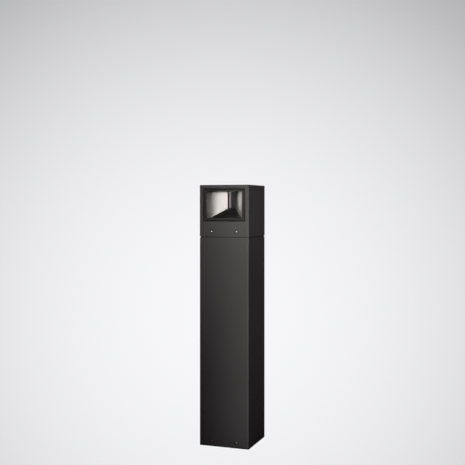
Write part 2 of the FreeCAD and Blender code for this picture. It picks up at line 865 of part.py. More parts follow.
def cable_gland(node, wall_face, direction, bore):
    """Gland on the box: thread through the wall, hexagon outside and a dome that grips the cable."""
    place = ("0", "gland_y")

    def span(start, end):
        points = ["%s + (%s) * %d" % (wall_face, text, direction) for text in (start, end)]
        return points if direction > 0 else points[::-1]

    thread = rod(node + "_thread", "z", place, span("0 - gland_thread_length", "0"), "gland_thread_radius")
    flats = hexagon(node + "_flats", "z", place, span("0", "gland_hex_height"), "gland_hex")
    dome = rod(node + "_dome", "z", place, span("0", "gland_length"), "gland_dome_radius")
    hole = rod(node + "_hole", "z", place,
               span("0 - gland_thread_length - run_out", "gland_length + run_out"), bore)
    keep(node, cut(node + "_cut", fuse(node + "_whole", thread, flats, dome), hole))


def coupler_cable():
    """Short cable from the upper gland of the box up to the coupler socket."""
    d = DIMENSIONS
    post_top = d["total_height"] - d["head_height"] - d["shadow_gap"]
    top = post_top - d["socket_tail"]
    inner_end = post_top - d["box_drop"] - d["box_wall"] - d["cable_stub"]
    points = [Vector(0, d["gland_y"], inner_end),
              Vector(0, d["gland_y"], top - d["coupler_cable_rise"]),
              Vector(0, d["coupler_y"], top - d["coupler_cable_end"]), Vector(0, d["coupler_y"], top)]
    cable("coupler_cable", points, d["cable_radius"], d["cable_bend"])


def earth_connection():
    """Welded earth stud with its nut on the left inner wall of the post."""
    wall_face = "0 - " + INSIDE
    place = ("earth_y", "%s - earth_drop" % POST_TOP)
    boss = rod("earth_boss", "x", place, (wall_face, wall_face + " + earth_boss_height"),
               "earth_boss_radius")
    stud = rod("earth_rod", "x", place, (wall_face, wall_face + " + earth_stud_length"),
               "earth_stud_radius")
    keep("earth_stud", fuse("earth_stud_whole", boss, stud))
    nut_start = wall_face + " + earth_boss_height + earth_nut_gap"
    nut_span = (nut_start, nut_start + " + earth_nut_thick")
    nut = hexagon("earth_nut_flats", "x", place, nut_span, "earth_nut_radius")
    bore = rod("earth_nut_hole", "x", place, (wall_face, wall_face + " + earth_stud_length"),
               "earth_nut_bore")
    keep("earth_nut", cut("earth_nut_cut", nut, bore))


# ---------------------------------------------------------------- head housing and window

def floor_boss_places():
    return [(x, y) for x in both("floor_boss_x") for y in ("0 - floor_boss_front", "floor_boss_rear")]


def ear_places():
    levels = ["%s + ear_pitch * %d" % (WINDOW_Z, k) for k in (-1, 0, 1)]
    return [(x, z) for x in both("ear_screw_x") for z in levels]


def spreader_screw_places():
    return [(x, at_depth(y)) for x in both("spreader_screw_x")
            for y in ("spreader_screw_front", "spreader_screw_back")]


def head_housing():
    """Cast box, open below, with the window opening in its front wall."""
    item = body("head_housing")
    outline = sketch(item, "XY_Plane", HEAD_BASE)
    rectangle(outline, both(HALF), both(HALF))
    pad(item, outline, "head_height")
    dress(item, "Fillet", "head_corner", upright)
    dress(item, "Fillet", "head_top_edge", flat_at(DIMENSIONS["total_height"]))
    hollow = sketch(item, "XY_Plane", HEAD_BASE)
    rectangle(hollow, both(INSIDE), both(INSIDE))
    pocket(item, hollow, "head_height - roof_thick", towards_normal=True)
    ledge = sketch(item, "XY_Plane", LEDGE_Z)
    rectangle(ledge, both(INSIDE + " + run_out"), both(INSIDE + " + run_out"))
    rectangle(ledge, both(INSIDE + " - ledge_width"), both(INSIDE + " - ledge_width"))
    pad(item, ledge, "ledge_thick")
    bosses = sketch(item, "XY_Plane", LEDGE_Z)
    circles(bosses, floor_boss_places(), "floor_boss_radius")
    pad(item, bosses, "floor_boss_height")
    taps = sketch(item, "XY_Plane", LEDGE_Z)
    circles(taps, floor_boss_places(), "floor_screw_bore")
    pocket(item, taps, "floor_screw_length", towards_normal=True)
    opening = sketch(item, "XZ_Plane", HALF)
    window_outline(opening, "opening_half_width", "opening_half_height")
    pocket(item, opening, "wall")
    front = -DIMENSIONS["section"] / 2
    dress(item, "Chamfer", "opening_edge", window_edge(front, DIMENSIONS["opening_half_width"]))
    ear_bosses = sketch(item, "XZ_Plane", INSIDE)
    circles(ear_bosses, ear_places(), "ear_boss_radius")
    pad(item, ear_bosses, "frame_depth - ear_thick - wall", towards_normal=False)
    ear_taps = sketch(item, "XZ_Plane", HALF + " - frame_depth + ear_thick")
    circles(ear_taps, ear_places(), "ear_screw_bore")
    pocket(item, ear_taps, "ear_screw_length - ear_thick + ear_tap_play", towards_normal=True)
    roof_taps = sketch(item, "XY_Plane", CEILING)
    circles(roof_taps, spreader_screw_places(), "spreader_tap_radius")
    pocket(item, roof_taps, "spreader_tap_depth", towards_normal=True)
    insert_holes(item, HEAD_SCREW_Z)


def window_edge(front, half_width):
    """A test for the straight edges of the window opening in the front face."""
    above = DIMENSIONS["total_height"] - DIMENSIONS["head_height"] + DIMENSIONS["floor_rise"]

    def chosen(edge):
        box = edge.BoundBox
        in_face = abs(box.YMin - front) < TOLERANCE and abs(box.YMax - front) < TOLERANCE
        within = max(abs(box.XMin), abs(box.XMax)) < half_width + TOLERANCE
        return in_face and within and box.ZMin > above
    return chosen


def window_outline(item, half_width, half_height):
    rectangle(item, both(half_width), ("%s - (%s)" % (WINDOW_Z, half_height),
                                       "%s + (%s)" % (WINDOW_Z, half_height)))


def ring(node, outer, inner, depth, thick):
    """A rectangular ring about the window's centre, from one depth inwards."""
    item = body(node)
    outline = sketch(item, "XZ_Plane", HALF + " - (%s)" % depth)
    window_outline(outline, *outer)
    window_outline(outline, *inner)
    pad(item, outline, thick, towards_normal=False)
    return item


def window_seal():
    """Black silicone ring at the bottom of the groove round the window frame."""
    ring("window_seal", ("opening_half_width - seal_play", "opening_half_height - seal_play"),
         ("frame_half_width + seal_play", "frame_half_height + seal_play"), "seal_sink", "seal_thick")


def window_frame():
    """Black frame with a bevelled lip, a rebate for the pane and ears for its screws."""
    item = ring("window_frame", ("frame_half_width", "frame_half_height"),
                ("sight_half_width", "sight_half_height"), "frame_sink", "frame_depth - frame_sink")
    rebate = sketch(item, "XZ_Plane", HALF + " - frame_depth")
    window_outline(rebate, "sight_half_width + rebate", "sight_half_height + rebate")
    pocket(item, rebate, "frame_depth - frame_sink - frame_lip", towards_normal=True)
    ears = sketch(item, "XZ_Plane", HALF + " - frame_depth + ear_thick")
    for side in (-1, 1):
        x = sorted_pair("frame_half_width - ear_root", "frame_half_width + ear_reach", side)
        for k in (-1, 0, 1):
            middle = "(%s + ear_pitch * %d)" % (WINDOW_Z, k)
            rectangle(ears, x, (middle + " - ear_half_height", middle + " + ear_half_height"))
    pad(item, ears, "ear_thick", towards_normal=False)
    holes = sketch(item, "XZ_Plane", HALF + " - frame_depth + ear_thick")
    circles(holes, ear_places(), "ear_screw_hole")
    pocket(item, holes, "ear_thick")
    front = DIMENSIONS["frame_sink"] - DIMENSIONS["section"] / 2
    dress(item, "Chamfer", "frame_bevel", window_edge(front, DIMENSIONS["sight_half_width"]))


def frame_screws():
    made = []
    back = at_depth("frame_depth")
    for k, place in enumerate(ear_places()):
        name = "frame_screw_%d" % k
        head = rod(name + "_head", "y", place, (back, back + " + ear_head_height"), "ear_head_radius")
        shank = rod(name + "_shank", "y", place, (back + " - ear_screw_length", back), "ear_screw_radius")
        made.append(fuse(name, head, shank))
    keep("frame_screws", group("frame_screws_group", made))


def glass_pane():
    item = body("glass_pane")
    depth = "frame_sink + frame_lip + pane_seal_thick"
    outline = sketch(item, "XZ_Plane", HALF + " - (%s)" % depth)
    window_outline(outline, "sight_half_width + rebate - pane_play", "sight_half_height + rebate - pane_play")
    pad(item, outline, "pane_thick", towards_normal=False)


def glass_seal():
    """Silicone bead that bonds the pane behind the frame's lip."""
    ring("glass_seal", ("sight_half_width + rebate - pane_play", "sight_half_height + rebate - pane_play"),
         ("sight_half_width + pane_seal_inset", "sight_half_height + pane_seal_inset"),
         "frame_sink + frame_lip",
         "pane_seal_thick")


# ---------------------------------------------------------------- light chamber

def reflector_wing(node, side):
    """Bright sheet from the window back to the throat, with a fixing flange bent outwards."""
    slope = "((mouth_half - throat_half) / (chamber_back - chamber_front))"
    front, back = at_depth("chamber_front"), at_depth("chamber_back")
    places = [("mouth_half", front), ("throat_half", back), ("throat_half + wing_flange", back),
              ("throat_half + wing_flange", back + " - wing_thick"),
              ("throat_half + wing_thick + wing_thick * " + slope, back + " - wing_thick"),
              ("mouth_half + wing_thick", front)]
    item = body(node)
    outline = sketch(item, "XY_Plane", WING_Z)
    polygon(outline, [("(%s) * %d" % (x, side), y) for x, y in places])
    pad(item, outline, "wing_top - wing_bottom")


def reflector_back():
    """Black plate behind the throat that carries both wings and the fin."""
    item = body("reflector_back")
    outline = sketch(item, "XY_Plane", WING_Z)
    back = at_depth("chamber_back")
    rectangle(outline, both("back_plate_half"), (back, back + " + back_plate_thick"))
    pad(item, outline, "wing_top - wing_bottom")


def throat_fin():
    """Bright fin in the middle of the throat."""
    keep("throat_fin", block("fin_block", both("fin_half"),
                             (at_depth("fin_front"), at_depth("chamber_back")),
                             (HEAD_BASE + " + fin_bottom", COVER_Z)))


def fin_foot():
    """Black clip that holds the lower end of the fin on the ramp."""
    rise = "(ramp_back_rise - ramp_front_rise) / (chamber_back - chamber_front)"
    front, back = at_depth("fin_foot_front"), at_depth("chamber_back")
    floor_front = "%s + ramp_front_rise + (fin_foot_front - chamber_front) * %s" % (HEAD_BASE, rise)
    floor_back = HEAD_BASE + " + ramp_back_rise"
    top = HEAD_BASE + " + fin_bottom"
    item = body("fin_foot")
    outline = sketch(item, "YZ_Plane", "0 - fin_foot_half")
    polygon(outline, [(front, floor_front), (back, floor_back), (back, top), (front, top)])
    pad(item, outline, "fin_foot_half * 2")


def glare_ramp():
    """Black slope that closes the chamber below and rises to the throat."""
    item = body("glare_ramp")
    front, back = at_depth("chamber_front"), at_depth("chamber_back")
    low = HEAD_BASE + " + ramp_front_rise"
    high = HEAD_BASE + " + ramp_back_rise"
    profile = sketch(item, "YZ_Plane", "0 - mouth_half")
    polygon(profile, [(front, low + " - ramp_thick"), (back, high + " - ramp_thick"), (back, high),
                      (front, low)])
    pad(item, profile, "mouth_half * 2")
    sides = sketch(item, "XY_Plane", high + " + run_out")
    beyond = "mouth_half + run_out"
    for side in (-1, 1):
        places = [("mouth_half - ramp_play", front), ("throat_half - ramp_play", back),
                  (beyond, back + " + run_out"), (beyond, front + " - run_out"),
                  ("mouth_half - ramp_play", front + " - run_out")]
        polygon(sides, [("(%s) * %d" % (x, side), y) for x, y in places])
    pocket(item, sides, "ramp_back_rise")


# ---------------------------------------------------------------- light engine

def led_places():
    middle_y = at_depth("(cover_window_front + cover_window_back) / 2")
    return [("led_pitch_x * (%d - %s)" % (column, (LED_COLUMNS - 1) / 2),
             "%s + led_pitch_y * (%d - %s)" % (middle_y, row, (LED_ROWS - 1) / 2))
            for column in range(LED_COLUMNS) for row in range(LED_ROWS)]


def optic_cover():
    """Black cover on top of the wings with a cut-out for the lens."""
    item = body("optic_cover")
    outline = sketch(item, "XY_Plane", COVER_Z)
    front, back = at_depth("chamber_front"), at_depth("chamber_back")
    polygon(outline, [("0 - mouth_half", front), ("mouth_half", front), ("back_plate_half", back),
                      ("0 - back_plate_half", back)])
    pad(item, outline, "cover_thick")
    window = sketch(item, "XY_Plane", LENS_Z)
    rectangle(window, both("cover_window_half"),
              (at_depth("cover_window_front"), at_depth("cover_window_back")))
    pocket(item, window, "cover_thick")


def led_lens():
    """Clear lens plate with a small dome under each diode."""
    plate = block("lens_plate", both("lens_half"),
                  (at_depth("cover_window_front - lens_margin"),
                   at_depth("cover_window_back + lens_margin")), (LENS_Z, LED_Z))
    domes = []
    for k, (x, y) in enumerate(led_places()):
        dome = doc.addObject("Part::Sphere", "lens_dome_%d" % k)
        bind(dome, {"Radius": "lens_dome", "Placement.Base.x": x, "Placement.Base.y": y,
                    "Placement.Base.z": LENS_Z})
        dome.Angle2 = 0
        domes.append(dome)
    keep("led_lens", fuse("led_lens_whole", plate, *domes))


def led_chips():
    made = [block("led_chip_%d" % k, (x + " - led_size / 2", x + " + led_size / 2"),
                  (y + " - led_size / 2", y + " + led_size / 2"), (LED_Z, BOARD_Z))
            for k, (x, y) in enumerate(led_places())]
    keep("led_chips", group("led_chips_group", made))


def led_board():
    keep("led_board", block("led_board_block", both("lens_half"),
                            (at_depth("cover_window_front - lens_margin"),
                             at_depth("cover_window_back + lens_margin")), (BOARD_Z, SPREADER_Z)))


def heat_spreader():
    """Aluminium plate that carries the heat of the board into the roof."""
    plate = block("spreader_plate", both("spreader_half"),
                  (at_depth("spreader_front"), at_depth("spreader_back")), (SPREADER_Z, CEILING))
    holes = [rod("spreader_hole_%d" % k, "z", place,
                 (SPREADER_Z + " - run_out", CEILING + " + run_out"), "spreader_screw_hole")
             for k, place in enumerate(spreader_screw_places())]
    keep("heat_spreader", cut("heat_spreader_cut", plate, *holes))


def spreader_screws():
    made = []
    for k, place in enumerate(spreader_screw_places()):
        name = "spreader_screw_%d" % k
        head = rod(name + "_head", "z", place, (SPREADER_Z + " - spreader_head_height", SPREADER_Z),
                   "spreader_head_radius")
        shank = rod(name + "_shank", "z", place, (SPREADER_Z, CEILING + " + spreader_screw_bite"),
                    "spreader_screw_radius")
        made.append(fuse(name, head, shank))
    keep("spreader_screws", group("spreader_screws_group", made))


def gear_tray():
    """Bent sheet on the floor plate that carries the driver behind the light chamber."""
    web = block("tray_web", both("tray_half"), ("tray_y", "tray_y + tray_thick"),
                (FLOOR_TOP, HEAD_BASE + " + tray_top"))
    foot = block("tray_foot_part", both("tray_half"), ("tray_y - tray_foot", "tray_y + tray_thick"),
                 (FLOOR_TOP, FLOOR_TOP + " + tray_thick"))
    holes = [rod("tray_hole_%d" % k, "z", (x, "tray_screw_y"),
                 (FLOOR_TOP + " - run_out", FLOOR_TOP + " + tray_thick + run_out"), "floor_screw_bore")
             for k, x in enumerate(both("tray_screw_x"))]
    keep("gear_tray", cut("gear_tray_cut", fuse("tray_whole", web, foot), *holes))


def tray_screws():
    made = []
    for k, x in enumerate(both("tray_screw_x")):
        name = "tray_screw_%d" % k
        under_head = FLOOR_TOP + " + tray_thick"
        head = rod(name + "_head", "z", (x, "tray_screw_y"),
                   (under_head, under_head + " + pan_head_height"), "pan_head_radius")
        shank = rod(name + "_shank", "z", (x, "tray_screw_y"), (FLOOR_Z, under_head), "floor_screw_radius")
        made.append(fuse(name, head, shank))
    keep("tray_screws", group("tray_screws_group", made))


def led_driver():
    """Potted driver with rounded edges, behind the tray."""
    item = body("led_driver")
    low, high = HEAD_BASE + " + driver_bottom", HEAD_BASE + " + driver_top"
    face = "tray_y + tray_thick"
    outline = sketch(item, "XY_Plane", low)
    rectangle(outline, both("driver_half"), (face, face + " + driver_depth"))
    pad(item, outline, "%s - (%s)" % (high, low))
    behind = DIMENSIONS["driver_edge"]
    dress(item, "Fillet", "driver_edge", lambda edge: upright(edge) and edge.BoundBox.YMin > behind)


def surge_protector():
    keep("surge_protector", block("surge_block", ("surge_place - surge_half", "surge_place + surge_half"),
                                  ("tray_y + tray_thick", "tray_y + tray_thick + surge_depth"),
                                  (HEAD_BASE + " + surge_bottom", HEAD_BASE + " + surge_top")))


def driver_cable():
    """Short cable from the coupler plug up to the driver."""
    d = DIMENSIONS
    base = d["total_height"] - d["head_height"]
    start = base + d["floor_rise"] + d["plug_neck_height"]
    end = base + d["driver_bottom"]
    straight = d["driver_cable_straight"]
    points = [Vector(0, d["coupler_y"], start), Vector(0, d["coupler_y"], start + straight),
              Vector(0, d["gland_y"], end - straight), Vector(0, d["gland_y"], end)]
    cable("driver_cable", points, d["cable_radius"], d["cable_bend"])


# ---------------------------------------------------------------- floor of the head

def head_floor():
    """Plate that closes the head from below."""
    item = body("head_floor")
    outline = sketch(item, "XY_Plane", FLOOR_Z)
    rectangle(outline, both(INSIDE + " - floor_play"), both(INSIDE + " - floor_play"))
    pad(item, outline, "floor_thick")
    holes = sketch(item, "XY_Plane", FLOOR_TOP)
    circles(holes, floor_boss_places(), "floor_screw_hole")
    circles(holes, [("0", "coupler_y")], "plug_neck_hole")
    circles(holes, [("vent_x", "vent_y")], "vent_hole")
    circles(holes, [(x, "tray_screw_y") for x in both("tray_screw_x")], "floor_screw_bore")
    pocket(item, holes, "floor_thick")


def floor_seal():
    item = body("floor_seal")
    outline = sketch(item, "XY_Plane", FLOOR_TOP)
    outer = INSIDE + " - floor_play"
    rectangle(outline, both(outer), both(outer))
    inner = INSIDE + " - ledge_width + floor_seal_inset"
    rectangle(outline, both(inner), both(inner))
    pad(item, outline, "floor_seal_thick")
    holes = sketch(item, "XY_Plane", LEDGE_Z)
    circles(holes, floor_boss_places(), "floor_screw_hole")
    pocket(item, holes, "floor_seal_thick")


def floor_screws():
    made = []
    for k, place in enumerate(floor_boss_places()):
        name = "floor_screw_%d" % k
        head = rod(name + "_head", "z", place, (FLOOR_Z + " - pan_head_height", FLOOR_Z), "pan_head_radius")
        shank = rod(name + "_shank", "z", place, (FLOOR_Z, FLOOR_Z + " + floor_screw_length"),
                    "floor_screw_radius")
        made.append(fuse(name, head, shank))
    keep("floor_screws", group("floor_screws_group", made))


def coupler_plug():
    """Plug under the floor plate: its skirt drops over the socket and its pins enter it."""
    place = ("0", "coupler_y")
    outer = "socket_radius + plug_play + plug_wall"
    shell = rod("plug_shell", "z", place, (PLUG_FACE + " - plug_skirt", FLOOR_Z), outer)
    flange = rod("plug_flange", "z", place, (FLOOR_Z + " - plug_flange_thick", FLOOR_Z),
                 "plug_flange_radius")
    neck = rod("plug_neck", "z", place, (FLOOR_Z, FLOOR_Z + " + plug_neck_height"), "plug_neck_radius")
    mouth = rod("plug_mouth", "z", place, (PLUG_FACE + " - plug_skirt - run_out", PLUG_FACE),
                "socket_radius + plug_play")
    hollow = cut("plug_hollow", fuse("plug_outer", shell, flange, neck), mouth)
    pins = contacts("plug_pin", (PLUG_FACE + " - plug_skirt + pin_setback", PLUG_FACE + " + run_out"),
                    "contact_pin")
    keep("coupler_plug", fuse("coupler_plug_whole", hollow, *pins))


def plug_nut():
    place = ("0", "coupler_y")
    flats = hexagon("plug_nut_flats", "z", place, (FLOOR_TOP, FLOOR_TOP + " + plug_nut_thick"),
                    "plug_nut_radius")
    bore = rod("plug_nut_hole", "z", place,
               (FLOOR_TOP + " - run_out", FLOOR_TOP + " + plug_nut_thick + run_out"), "plug_neck_hole")
    keep("plug_nut", cut("plug_nut_cut", flats, bore))


def pressure_vent():
    """Vent plug with a membrane, which lets the head breathe, and its nut."""
    place = ("vent_x", "vent_y")
    nut_top = FLOOR_TOP + " + vent_nut_thick"
    head = rod("vent_head", "z", place, (FLOOR_Z + " - vent_head_height", FLOOR_Z), "vent_head_radius")
    thread = rod("vent_thread", "z", place, (FLOOR_Z, nut_top + " + run_out"), "vent_radius")
    keep("pressure_vent", fuse("pressure_vent_whole", head, thread))
    flats = hexagon("vent_nut_flats", "z", place, (FLOOR_TOP, nut_top), "vent_nut_radius")
    bore = rod("vent_nut_hole", "z", place, (FLOOR_TOP + " - run_out", nut_top + " + run_out"),
               "vent_hole")
    keep("vent_nut", cut("vent_nut_cut", flats, bore))


# ---------------------------------------------------------------- the whole light

base_gasket()
anchor_plate()
anchor_upright("anchor_upright_front", -1)
anchor_upright("anchor_upright_rear", 1)

post_tube()
threaded_inserts("post_inserts", "foot_screw_height")
set_screws("post_set_screws", "foot_screw_height")
post_adapter()
adapter_screws()
coupler_socket()
box_bracket()
bracket_screws()
terminal_box()
terminal_box_seal()
terminal_box_lid()
terminal_lid_screws()
terminal_block()
fuse_carrier()
cable_gland("supply_gland", BOX_BOTTOM, -1, "supply_bore")
cable_gland("lamp_gland", BOX_TOP, 1, "lamp_bore")
coupler_cable()
earth_connection()

head_housing()
threaded_inserts("head_inserts", HEAD_SCREW_Z)
set_screws("head_set_screws", HEAD_SCREW_Z)
window_seal()
window_frame()
frame_screws()
glass_seal()
glass_pane()
reflector_wing("left_reflector", -1)
reflector_wing("right_reflector", 1)
reflector_back()
throat_fin()
fin_foot()
glare_ramp()
optic_cover()
led_lens()
led_chips()
led_board()
heat_spreader()
spreader_screws()
gear_tray()
tray_screws()
led_driver()
surge_protector()
driver_cable()
head_floor()
floor_seal()
floor_screws()
coupler_plug()
plug_nut()
pressure_vent()

doc.recompute()
for item in doc.Objects:
    if "Invalid" in item.State or "Error" in item.State:
        raise RuntimeError("%s (%s) failed: %s" % (item.Name, item.Label, item.State))
for node, item in PIECES.items():
    if item.Shape.isNull() or not item.Shape.isValid():
        raise RuntimeError(node + " has no valid shape")

os.makedirs("parts", exist_ok=True)
for node, item in PIECES.items():
    item.Shape.exportStep("parts/%s.step" % node)
print(len(PIECES), "sub-parts written")
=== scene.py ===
import json
import math

import bpy
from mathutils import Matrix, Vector

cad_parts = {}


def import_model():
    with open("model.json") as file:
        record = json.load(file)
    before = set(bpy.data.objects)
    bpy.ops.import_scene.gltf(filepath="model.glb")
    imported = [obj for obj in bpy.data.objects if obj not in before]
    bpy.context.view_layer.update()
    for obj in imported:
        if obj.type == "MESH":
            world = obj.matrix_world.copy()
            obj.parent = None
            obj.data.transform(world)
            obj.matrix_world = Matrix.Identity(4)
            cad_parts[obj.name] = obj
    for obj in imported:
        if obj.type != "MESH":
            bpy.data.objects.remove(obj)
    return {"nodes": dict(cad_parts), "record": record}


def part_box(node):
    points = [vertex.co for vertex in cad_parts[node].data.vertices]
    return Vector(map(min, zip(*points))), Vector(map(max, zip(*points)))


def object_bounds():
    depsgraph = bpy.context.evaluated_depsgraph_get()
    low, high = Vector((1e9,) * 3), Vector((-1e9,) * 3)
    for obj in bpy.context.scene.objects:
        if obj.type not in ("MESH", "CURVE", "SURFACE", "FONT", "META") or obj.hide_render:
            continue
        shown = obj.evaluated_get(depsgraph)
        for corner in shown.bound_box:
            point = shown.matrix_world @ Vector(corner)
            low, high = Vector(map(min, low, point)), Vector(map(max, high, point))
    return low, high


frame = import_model()
cad_low, cad_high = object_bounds()

# Bollard light: a graphite powder-coated head and post, a framed window with a bright V reflector.
# Everything is in metres, in the frame of the CAD: +Z up, the window faces -Y, ground at z = 0.

NODES = frame["nodes"]

# The plain materials that came with the CAD make way for the finishes below, which take their names.
for node in NODES.values():
    node.data.materials.clear()
for plain in list(bpy.data.materials):
    bpy.data.materials.remove(plain)

# ---------------------------------------------------------------- node material helpers


class Shader:
    """A material with one Principled surface and short calls to add procedural nodes."""

    def __init__(self, name, **values):
        self.material = bpy.data.materials.new(name)
        self.material.use_nodes = True
        self.tree = self.material.node_tree
        self.surface = self.tree.nodes["Principled BSDF"]
        for socket, value in values.items():
            self.surface.inputs[socket.replace("_", " ")].default_value = value
        self.place = self.add("ShaderNodeTexCoord").outputs["Object"]

    def add(self, kind, **settings):
        node = self.tree.nodes.new(kind)
        for key, value in settings.items():
            setattr(node, key, value)
        return node

    def join(self, source, target):
        self.tree.links.new(source, target)

    def stretched(self, scale):
        """Object coordinates scaled by three factors."""
        mapping = self.add("ShaderNodeMapping")
        mapping.inputs["Scale"].default_value = scale
        self.join(self.place, mapping.inputs["Vector"])
        return mapping.outputs["Vector"]

    def noise(self, scale, detail, roughness, vector=None):
        node = self.add("ShaderNodeTexNoise")
        node.inputs["Scale"].default_value = scale
        node.inputs["Detail"].default_value = detail
        node.inputs["Roughness"].default_value = roughness
        self.join(vector or self.place, node.inputs["Vector"])
        return node.outputs["Fac"]

    def cells(self, scale):
        node = self.add("ShaderNodeTexVoronoi", feature="SMOOTH_F1")
        node.inputs["Scale"].default_value = scale
        self.join(self.place, node.inputs["Vector"])
        return node.outputs["Distance"]

    def ramp(self, factor, low, high, start=0.35, end=0.65):
        """Blend two colours over a stretch of a factor."""
        node = self.add("ShaderNodeValToRGB")
        node.color_ramp.elements[0].position = start
        node.color_ramp.elements[1].position = end
        node.color_ramp.elements[0].color = (*low, 1.0)
        node.color_ramp.elements[1].color = (*high, 1.0)
        self.join(factor, node.inputs["Fac"])
        return node.outputs["Color"]

    def spread(self, factor, low, high):
        """Map a 0 to 1 factor onto a range of numbers."""
        node = self.add("ShaderNodeMapRange")
        node.inputs["To Min"].default_value = low
        node.inputs["To Max"].default_value = high
        self.join(factor, node.inputs["Value"])
        return node.outputs["Result"]

    def bump(self, height, distance, strength, under=None):
        node = self.add("ShaderNodeBump")
        node.inputs["Distance"].default_value = distance
        node.inputs["Strength"].default_value = strength
        self.join(height, node.inputs["Height"])
        if under is not None:
            self.join(under, node.inputs["Normal"])
        return node.outputs["Normal"]

    def colour(self, source):
        self.join(source, self.surface.inputs["Base Color"])

    def roughness(self, source):
        self.join(source, self.surface.inputs["Roughness"])

    def normal(self, source):
        self.join(source, self.surface.inputs["Normal"])


def lighter(colour, factor):
    return tuple(min(1.0, channel * factor) for channel in colour)


# ---------------------------------------------------------------- finishes

def powder_coat():
    """Fine-texture graphite powder coat: orange peel with a grain, slightly uneven in tone."""
    tone = (0.0420, 0.0375, 0.0395)
    made = Shader("powder_coat", IOR=1.5, Specular_IOR_Level=0.5)
    grain = made.noise(1900.0, 2.0, 0.6)
    peel = made.noise(420.0, 3.0, 0.5)
    drift = made.noise(7.0, 2.0, 0.5)
    made.colour(made.ramp(drift, lighter(tone, 0.94), lighter(tone, 1.06)))
    made.roughness(made.spread(grain, 0.42, 0.60))
    fine = made.bump(grain, 0.00005, 0.5)
    made.normal(made.bump(peel, 0.00008, 0.35, under=fine))
    return made.material


def satin_black(name, tone, low, high):
    """Dark moulded or lacquered surface with a light texture."""
    made = Shader(name, IOR=1.48)
    grain = made.noise(1400.0, 2.0, 0.5)
    drift = made.noise(30.0, 2.0, 0.5)
    made.colour(made.ramp(drift, lighter(tone, 0.85), lighter(tone, 1.15)))
    made.roughness(made.spread(grain, low, high))
    made.normal(made.bump(grain, 0.00003, 0.4))
    return made.material


def rubber(name, tone):
    made = Shader(name, IOR=1.45, Specular_IOR_Level=0.3)
    grain = made.noise(900.0, 3.0, 0.6)
    made.colour(made.ramp(grain, lighter(tone, 0.8), lighter(tone, 1.3)))
    made.roughness(made.spread(grain, 0.7, 0.9))
    made.normal(made.bump(grain, 0.00006, 0.5))
    return made.material


def bright_sheet():
    """Bright anodised reflector sheet with the faint upright lines of rolling."""
    made = Shader("bright_reflector", Metallic=1.0)
    lines = made.noise(60.0, 4.0, 0.6, made.stretched((40.0, 40.0, 0.6)))
    haze = made.noise(45.0, 2.0, 0.5)
    made.colour(made.ramp(haze, (0.85, 0.83, 0.82), (0.90, 0.88, 0.87)))
    made.roughness(made.spread(lines, 0.26, 0.36))
    made.normal(made.bump(lines, 0.00001, 0.25))
    return made.material


# Depths under the fin's right-hand face at which its painted shade starts and is full.
SHADE_PAINT_STARTS = 0.0003
SHADE_PAINT_FULL = 0.0001


def fin_sheet():
    """Brushed reflector sheet with painted shade: dark on the one side that faces the open throat."""
    made = Shader("fin_sheet", Metallic=1.0)
    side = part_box("throat_fin")[1][0]
    parts = made.add("ShaderNodeSeparateXYZ")
    made.join(made.place, parts.inputs["Vector"])
    dark = made.add("ShaderNodeMapRange")
    dark.inputs["From Min"].default_value = side - SHADE_PAINT_STARTS
    dark.inputs["From Max"].default_value = side - SHADE_PAINT_FULL
    made.join(parts.outputs["X"], dark.inputs["Value"])
    haze = made.noise(45.0, 2.0, 0.5)
    # Painted shade: the bright sheet turns dark grey just under the right-hand face.
    made.colour(made.ramp(dark.outputs["Result"], (0.90, 0.885, 0.875), (0.30, 0.295, 0.29), 0.0, 1.0))
    made.roughness(made.spread(haze, 0.38, 0.48))
    return made.material


def metal(name, tone, low, high, scale, grain_stretch=(1.0, 1.0, 1.0)):
    made = Shader(name, Metallic=1.0)
    grain = made.noise(scale, 4.0, 0.6, made.stretched(grain_stretch))
    made.colour(made.ramp(grain, lighter(tone, 0.88), lighter(tone, 1.08)))
    made.roughness(made.spread(grain, low, high))
    made.normal(made.bump(grain, 0.00003, 0.4))
    return made.material


def galvanised():
    """Hot-dip zinc with its crystal spangle."""
    made = Shader("galvanised", Metallic=1.0)
    spangle = made.cells(110.0)
    grain = made.noise(600.0, 3.0, 0.6)
    made.colour(made.ramp(spangle, (0.42, 0.44, 0.46), (0.62, 0.64, 0.66), 0.1, 0.6))
    made.roughness(made.spread(spangle, 0.35, 0.6))
    made.normal(made.bump(grain, 0.00005, 0.4))
    return made.material


def plastic(name, tone):
    made = Shader(name, IOR=1.47)
    grain = made.noise(1200.0, 2.0, 0.5)
    drift = made.noise(20.0, 2.0, 0.5)
    made.colour(made.ramp(drift, lighter(tone, 0.95), lighter(tone, 1.04)))
    made.roughness(made.spread(grain, 0.38, 0.52))
    made.normal(made.bump(grain, 0.00003, 0.35))
    return made.material


def clear(name, ior, tint, low, high):
    """Clear glass or moulded optic, its surface very slightly uneven."""
    made = Shader(name, IOR=ior, Transmission_Weight=1.0)
    film = made.noise(25.0, 2.0, 0.5)
    made.colour(made.ramp(film, tint, (1.0, 1.0, 1.0)))
    made.roughness(made.spread(film, low, high))
    return made.material


def phosphor():
    made = Shader("led_phosphor", IOR=1.45)
    grain = made.noise(3000.0, 2.0, 0.5)
    made.colour(made.ramp(grain, (0.78, 0.60, 0.12), (0.88, 0.74, 0.25)))
    made.roughness(made.spread(grain, 0.35, 0.5))
    return made.material


